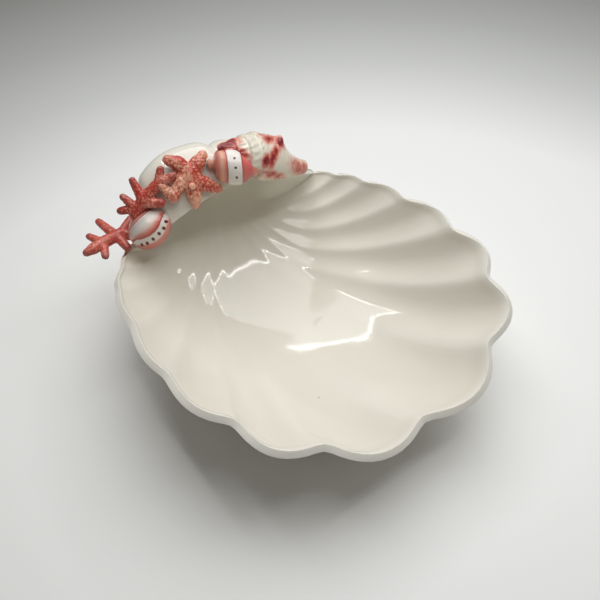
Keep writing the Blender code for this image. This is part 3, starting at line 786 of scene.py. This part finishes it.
# Colours under a clear gloss, in bands that bend as the panel's lower edge does; beyond is how
# far down a point is, in mm, once that bend is taken out
cockle_glaze, tree, shader = new_material("pearl_and_pink_banded_glaze", 0.10)
place = brushed_from_front(tree, cockle_centre, PANEL_TURN)
split = add_node(tree, "ShaderNodeSeparateXYZ", {}, {0: place})
down = add_node(tree, "ShaderNodeMath", {"operation": "MULTIPLY"}, {0: split.outputs["Y"], 1: -1.0})
off_middle = add_node(
    tree, "ShaderNodeMath", {"operation": "SUBTRACT"},
    {0: split.outputs["X"], 1: PANEL_MIDDLE},
)
squared = add_node(tree, "ShaderNodeMath", {"operation": "POWER"}, {0: off_middle.outputs[0], 1: 2.0})
bent = add_node(
    tree, "ShaderNodeMapRange", {},
    {"Value": down.outputs[0], "From Min": -10.0, "From Max": 0.0, "To Min": 0.0, "To Max": PANEL_BEND},
)
beyond = add_node(
    tree, "ShaderNodeMath", {"operation": "MULTIPLY_ADD"},
    {0: squared.outputs[0], 1: bent.outputs["Result"], 2: down.outputs[0]},
)
# The brush wavers every 4 mm or so
wobble = add_node(tree, "ShaderNodeTexNoise", {}, {"Vector": place, "Scale": 0.25, "Detail": 2.0})
brushed = add_node(
    tree, "ShaderNodeMath", {"operation": "MULTIPLY_ADD"},
    {0: wobble.outputs["Fac"], 1: 1.6, 2: beyond.outputs[0]},
)
bands = add_node(
    tree, "ShaderNodeMapRange", {},
    {"Value": brushed.outputs[0], "From Min": -20.0, "From Max": 20.0},
)
COCKLE_BANDS = [
    (0.00, "#D4877C"), (0.215, "#DE968C"), (0.232, "#8E4644"), (0.25, "#E3CFC4"), (0.32, "#CFCCC6"),
    (0.42, "#E9E2D9"), (0.53, "#EDD9CC"), (0.61, "#E2998A"), (0.685, "#CC5C52"), (0.705, "#A83A38"),
    (0.722, "#F1EAE1"), (0.862, "#EFE0D6"), (0.885, "#DE958A"), (0.95, "#D4766C"), (1.00, "#C9685F"),
]
banded = add_node(tree, "ShaderNodeValToRGB", {}, {"Fac": bands.outputs["Result"]}, COCKLE_BANDS)
dots = [(x, -y) for x, y in COCKLE_DOTS]
dotted = painted_dots(tree, place, dots, COCKLE_DOT_RADIUS, banded.outputs["Color"], "#6E2A2E")
tree.links.new(dotted, shader.inputs["Base Color"])
finished(cockle, "banded_cockle", cockle_glaze, "striped_cockle")

# The spindle shell. Turned in clay: a little knob, a round shoulder, a smooth white band with
# brown dots between two grooves, and a short cone. Peach on the knob and shoulder, with a paler
# ring round the shoulder that is a painted highlight, pink on the cone, under the same clear gloss.
SPINDLE = [
    (-26, 0), (-25, 3.4), (-22.5, 4.6), (-20, 3.6), (-18.5, 5), (-17, 11), (-13, 15), (-8.0, 16.6),
    (-7.0, 15.8), (-6.2, 17.2), (0, 17.7), (6.8, 16.6), (7.6, 15.4), (12, 12.4), (18, 7.8), (24, 3.0),
    (26, 0),
]
SPINDLE_LEAN = 0.20
SPINDLE_DOTS = [(3.2, 5.1), (4.5, -4.1), (5.0, -12.6)]
SPINDLE_DOT_RADIUS = 1.2


def turned(outline, rings, steps):
    """Body turned about X from its (x, radius) outline in mm, with the outline smoothed."""
    ends = np.array(outline, float)
    knots = np.vstack([2 * ends[0] - ends[1], ends, 2 * ends[-1] - ends[-2]])
    line = smooth_line(knots, np.linspace(0, len(ends) - 1, rings))
    line[:, 1] = np.maximum(line[:, 1], 0.0)
    line[[0, -1], 1] = 0.0
    profile = bmesh.new()
    corners = [profile.verts.new((radius / 1000, 0, x / 1000)) for x, radius in reversed(line)]
    for start, end in zip(corners, corners[1:]):
        profile.edges.new((start, end))
    mesh = bpy.data.meshes.new("profile")
    profile.to_mesh(mesh)
    profile.free()
    body = bpy.data.objects.new("profile", mesh)
    bpy.context.scene.collection.objects.link(body)
    screw = body.modifiers.new("turned", "SCREW")
    screw.axis = "Z"
    screw.steps = steps
    screw.render_steps = steps
    screw.use_merge_vertices = True
    screw.merge_threshold = 0.00001
    apply_all(body)
    body.data.transform(Matrix(((0, 0, 1, 0), (1, 0, 0, 0), (0, 1, 0, 0), (0, 0, 0, 1))))
    bpy.ops.object.mode_set(mode="EDIT")
    bpy.ops.mesh.select_all(action="SELECT")
    bpy.ops.mesh.remove_doubles(threshold=0.00001)
    bpy.ops.mesh.normals_make_consistent(inside=False)
    bpy.ops.object.mode_set(mode="OBJECT")
    return body


spindle_frame = (
    seat(t=0.03, g=0.93)
    @ Matrix.Translation((-0.0045, 0, 0.011))
    @ Matrix.Rotation(radians(-22), 4, "Z")
    @ Matrix.Rotation(radians(-16), 4, "Y")
)
spindle = turned(SPINDLE, rings=129, steps=96)
# The band leans: the shell was squeezed when it was pressed on
for vertex in spindle.data.vertices:
    vertex.co.x -= SPINDLE_LEAN * vertex.co.y
spindle.data.transform(spindle_frame)
join_with_slip(spindle)
spindle_glaze, tree, shader = new_material("peach_and_white_banded_glaze", 0.10)
place = brushed_from_front(tree, spindle_frame.translation)
upright = spindle_frame.to_3x3().transposed()
lengthways = add_node(
    tree, "ShaderNodeMapping", {"vector_type": "POINT"},
    {
        "Vector": add_node(tree, "ShaderNodeTexCoord").outputs["Object"],
        "Location": -1000 * (upright @ spindle_frame.translation),
        "Rotation": upright.to_euler(),
        "Scale": (1000, 1000, 1000),
    },
).outputs["Vector"]
split = add_node(tree, "ShaderNodeSeparateXYZ", {}, {0: lengthways})
washed = add_node(tree, "ShaderNodeTexNoise", {}, {"Vector": place, "Scale": 0.16, "Detail": 3.0})
unleant = add_node(
    tree, "ShaderNodeMath", {"operation": "MULTIPLY_ADD"},
    {0: split.outputs["Y"], 1: SPINDLE_LEAN, 2: split.outputs["X"]},
)
drift = add_node(
    tree, "ShaderNodeMath", {"operation": "MULTIPLY_ADD"},
    {0: washed.outputs["Fac"], 1: 1.2, 2: unleant.outputs[0]},
)
bands = add_node(
    tree, "ShaderNodeMapRange", {},
    {"Value": drift.outputs[0], "From Min": -26.0, "From Max": 28.0},
)
# The pale peach stop in the middle of the shoulder is a painted highlight; the other stops are the shell's
# bands
SPINDLE_BANDS_AND_HIGHLIGHT = [
    (0.00, "#B9A58F"), (0.05, "#D9A28C"), (0.13, "#CF8D78"), (0.16, "#D98A7B"), (0.20, "#DE8A7E"),
    (0.27, "#F0BFA2"), (0.335, "#DB7F70"), (0.355, "#C4564C"), (0.372, "#F1ECE6"), (0.615, "#EFE8E2"),
    (0.628, "#C2504C"), (0.68, "#D9736C"), (0.82, "#D66C66"), (0.93, "#E39A86"), (1.00, "#D98A7A"),
]
banded = add_node(tree, "ShaderNodeValToRGB", {}, {"Fac": bands.outputs["Result"]}, SPINDLE_BANDS_AND_HIGHLIGHT)
ground = banded.outputs["Color"]
dotted = painted_dots(tree, place, SPINDLE_DOTS, SPINDLE_DOT_RADIUS, ground, "#4A2A28")
tree.links.new(dotted, shader.inputs["Base Color"])
finished(spindle, "banded_spindle_shell", spindle_glaze, "striped_spindle_shell")

# The conch. Cast from a real shell: a beaded spire of stepped whorls, a body with folds and a
# thick varix, a horn on its shoulder and a blunt canal that sags to the right. Cream, with
# rose and dark red brushed over the spire, the varix and the horn.
CONCH = [
    (0, 0), (1, 2.4), (6, 5.5), (12, 8.5), (18, 12), (25, 15.5), (32, 19), (40, 22), (48, 24), (56, 24.5),
    (64, 23.5), (72, 20.5), (80, 17), (88, 13.0), (96, 10.5), (104, 8.8), (110, 6.6), (114, 0),
]
# Relief is given as a share of the radius, places in mm along the shell and angles round it
WHORL_PITCH = 13
WHORL_STEP = 0.22
SEAM_DEPTH = 0.06
BEADS_PER_TURN = 16
BEAD_HEIGHT = 0.035
FOLDS = [(33.0, 0.25), (41.0, 0.45), (49.0, 0.4), (56.0, 1.0), (69.0, 0.8)]
FOLD_HEIGHT = 0.032
FOLD_SLANT = 5.0
FOLD_HALF = 1.7
HORN_AT = (67.0, pi / 3)
HORN_HALF = (5.2, 0.27)
HORN_HEIGHT = 0.34
CANAL_SAG = 3.0
conch_frame = (
    seat(t=0.37, g=0.88)
    @ Matrix.Translation((-0.062, -0.001, 0.009))
    @ Matrix.Rotation(radians(-4), 4, "Z")
    @ Matrix.Rotation(radians(1), 4, "Y")
    @ Matrix.Diagonal((1, 1, 0.8, 1))
)
conch = turned(CONCH, rings=229, steps=160)
for vertex in conch.data.vertices:
    x, y, z = 1000 * vertex.co
    angle = np.arctan2(z, y)
    turn = (x / WHORL_PITCH - angle / (2 * pi)) % 1.0
    on_spire = float(smooth_step(58, 40, x))
    step = WHORL_STEP * (turn - 0.5) * float(smooth_step(1.0, 0.93, turn))
    seam = SEAM_DEPTH * float(smooth_step(0.93, 1.0, turn))
    bead_wave = cos(BEADS_PER_TURN * angle + 5.0 * x / WHORL_PITCH) * sin(pi * turn)
    beads = BEAD_HEIGHT * bead_wave * float(smooth_step(48, 26, x))
    slanted = x - FOLD_SLANT * sin(angle)
    folds = sum(FOLD_HEIGHT * high * np.exp(-(((slanted - at) / FOLD_HALF) ** 2)) for at, high in FOLDS)
    from_horn = ((x - HORN_AT[0]) / HORN_HALF[0]) ** 2 + ((angle - HORN_AT[1]) / HORN_HALF[1]) ** 2
    press = 1 - (step + seam) * on_spire + beads + folds + HORN_HEIGHT * np.exp(-from_horn)
    sag = -CANAL_SAG * float(smooth_step(68, 88, x)) * float(smooth_step(116, 96, x))
    vertex.co = (x / 1000, (y * press + sag) / 1000, z * press / 1000)
conch.data.transform(conch_frame)

# Where the colour was brushed on: centre in mm right and up from the middle of the conch, half
# sizes across and up, tilt in degrees, and strength
CONCH_BRUSHED = [
    (-33.0, 5.0, 15.0, 6.5, 40, 1.30),
    (-20.0, -1.5, 12.0, 5.5, -28, 1.05),
    (-22.0, 8.0, 7.0, 7.0, 0, 0.50),
    (8.0, 16.0, 9.0, 8.0, 0, 0.85),
    (18.5, 14.0, 7.0, 7.0, 0, 1.30),
    (13.0, -1.0, 5.0, 18.0, -20, 1.05),
    (5.2, -8.5, 4.6, 8.0, -15, 1.20),
    (10.0, -19.5, 18.0, 4.5, 0, 0.80),
    (39.0, -8.0, 15.0, 12.0, -20, 0.74),
    (0.0, 20.0, 7.0, 3.5, 0, 0.70),
]
conch_middle = conch_frame @ Vector((0.054, 0, 0))
paint = []
for vertex in conch.data.vertices:
    away = 1000 * (vertex.co - conch_middle)
    x, y = away.dot(rightwards), away.dot(upwards)
    strength = 0.0
    for px, py, half_x, half_y, tilt, most in CONCH_BRUSHED:
        c, s = cos(radians(tilt)), sin(radians(tilt))
        u, v = c * (x - px) + s * (y - py), c * (y - py) - s * (x - px)
        strength = max(strength, most * float(np.exp(-((u / half_x) ** 2) - (v / half_y) ** 2)))
    paint.append(strength)
note(conch, "brushed", paint)
join_with_slip(conch)
conch_glaze, tree, shader = new_material("rose_mottled_cream_glaze", 0.12)
where = add_node(tree, "ShaderNodeTexCoord").outputs["Object"]
brushed = add_node(tree, "ShaderNodeAttribute", {"attribute_name": "brushed"}).outputs["Fac"]
# The colour took unevenly, in blots of about 7 mm
mottle = add_node(
    tree, "ShaderNodeTexNoise", {},
    {"Vector": where, "Scale": 150.0, "Detail": 4.0, "Roughness": 0.6},
)
uneven = add_node(
    tree, "ShaderNodeMapRange", {},
    {"Value": mottle.outputs["Fac"], "From Min": 0.3, "From Max": 0.7, "To Min": 0.60, "To Max": 1.25},
)
strength = add_node(
    tree, "ShaderNodeMath", {"operation": "MULTIPLY"},
    {0: uneven.outputs["Result"], 1: brushed},
)
depth = add_node(
    tree, "ShaderNodeMapRange", {},
    {"Value": strength.outputs[0], "From Min": 0.04, "From Max": 1.15},
)
CONCH_COLOURS = [
    (0.00, "#EBE6D6"), (0.16, "#EDE3D2"), (0.30, "#EBC9B8"),
    (0.46, "#DE9786"), (0.66, "#C25A50"), (0.88, "#8C3034"),
]
rosy = add_node(tree, "ShaderNodeValToRGB", {}, {"Fac": depth.outputs["Result"]}, CONCH_COLOURS)
tree.links.new(rosy.outputs["Color"], shader.inputs["Base Color"])
skin = add_node(
    tree, "ShaderNodeBump", {},
    {"Height": mottle.outputs["Fac"], "Strength": 0.2, "Distance": 0.0005},
)
tree.links.new(skin.outputs["Normal"], shader.inputs["Normal"])
finished(conch, "rose_mottled_conch", conch_glaze, "conch_shell")

# The view: the photograph's place, in front and to the left, looking down into the bowl, which
# stands on a plain pale table under one large soft box that shows in the glaze.
VIEW_DISTANCE = 0.676
target = Vector((-0.0061, -0.0071, FRONT_RIM))
camera = bpy.data.objects.new("camera", bpy.data.cameras.new("camera"))
bpy.context.scene.collection.objects.link(camera)
camera.location = target + towards * VIEW_DISTANCE
camera.rotation_euler = (-towards).to_track_quat("-Z", "Y").to_euler()
camera.data.sensor_width = 36
camera.data.lens = 42
camera.data.clip_start = 0.01
bpy.context.scene.camera = camera

TABLE_SIZE = 6.0
TABLE_DROP = 0.0002
TABLE_LIGHT_POOL_CENTRE = (0.03, -0.10, 0.0)
TABLE_FADE = 1.2
deselect()
bpy.ops.mesh.primitive_plane_add(size=TABLE_SIZE, location=(0, 0, -TABLE_DROP))
table = bpy.context.object
table.name = "table"
# Matt pale board; its fall from almost white round the bowl to grey away from it is a painted pool of light
table_with_painted_light, tree, shader = new_material("pale_board_with_painted_light_pool", 0.6)
where = add_node(tree, "ShaderNodeTexCoord").outputs["Object"]
away = add_node(
    tree, "ShaderNodeVectorMath", {"operation": "DISTANCE"},
    {0: where, 1: TABLE_LIGHT_POOL_CENTRE},
).outputs["Value"]
spread = add_node(tree, "ShaderNodeMapRange", {}, {"Value": away, "From Max": TABLE_FADE})
# Painted pool of light: near white close to the bowl, greyer further off
TABLE_PAINTED_LIGHT_FALLOFF = [
    (0.00, "#F8F9F8"), (0.20, "#F2F3F2"), (0.42, "#EDEEED"),
    (0.60, "#CBCDCC"), (0.76, "#B4B6B4"), (1.00, "#9C9D9B"),
]
shaded = add_node(tree, "ShaderNodeValToRGB", {}, {"Fac": spread.outputs["Result"]}, TABLE_PAINTED_LIGHT_FALLOFF)
tree.links.new(shaded.outputs["Color"], shader.inputs["Base Color"])
table.data.materials.append(table_with_painted_light)


# A large soft box over the back right, facing down, with a brighter strip along each side that
# draws thin lines in the glaze
BOX_CENTRE = Vector((0.38, 0.26, 1.20))
BOX_SIZE = (1.25, 1.34)
BOX_POWER = 12.2
STRIP_WIDTH = 0.022
STRIP_POWER = 1.8
STRIP_DROP = 0.01


def lamp_facing_down(name, place, size, power):
    lamp = bpy.data.lights.new(name, "AREA")
    lamp.shape = "RECTANGLE"
    lamp.size, lamp.size_y = size
    lamp.energy = power
    made = bpy.data.objects.new(name, lamp)
    bpy.context.scene.collection.objects.link(made)
    made.location = place


lamp_facing_down("soft_box", BOX_CENTRE, BOX_SIZE, BOX_POWER)
for name, x, y, size in (
    ("box_edge_left", -0.5, 0.0, (STRIP_WIDTH, BOX_SIZE[1])),
    ("box_edge_right", 0.5, 0.0, (STRIP_WIDTH, BOX_SIZE[1])),
    ("box_edge_near", 0.0, -0.5, (BOX_SIZE[0], STRIP_WIDTH)),
    ("box_edge_far", 0.0, 0.5, (BOX_SIZE[0], STRIP_WIDTH)),
):
    side = Vector((x * BOX_SIZE[0], y * BOX_SIZE[1], -STRIP_DROP))
    lamp_facing_down(name, BOX_CENTRE + side, size, STRIP_POWER)
# The rest of the room, dim and a little warm
world = bpy.data.worlds.new("room")
bpy.context.scene.world = world
world.use_nodes = True
world.node_tree.nodes["Background"].inputs["Color"].default_value = linear("#E8E3DA")
world.node_tree.nodes["Background"].inputs["Strength"].default_value = 0.15
bpy.context.scene.view_settings.view_transform = "Standard"
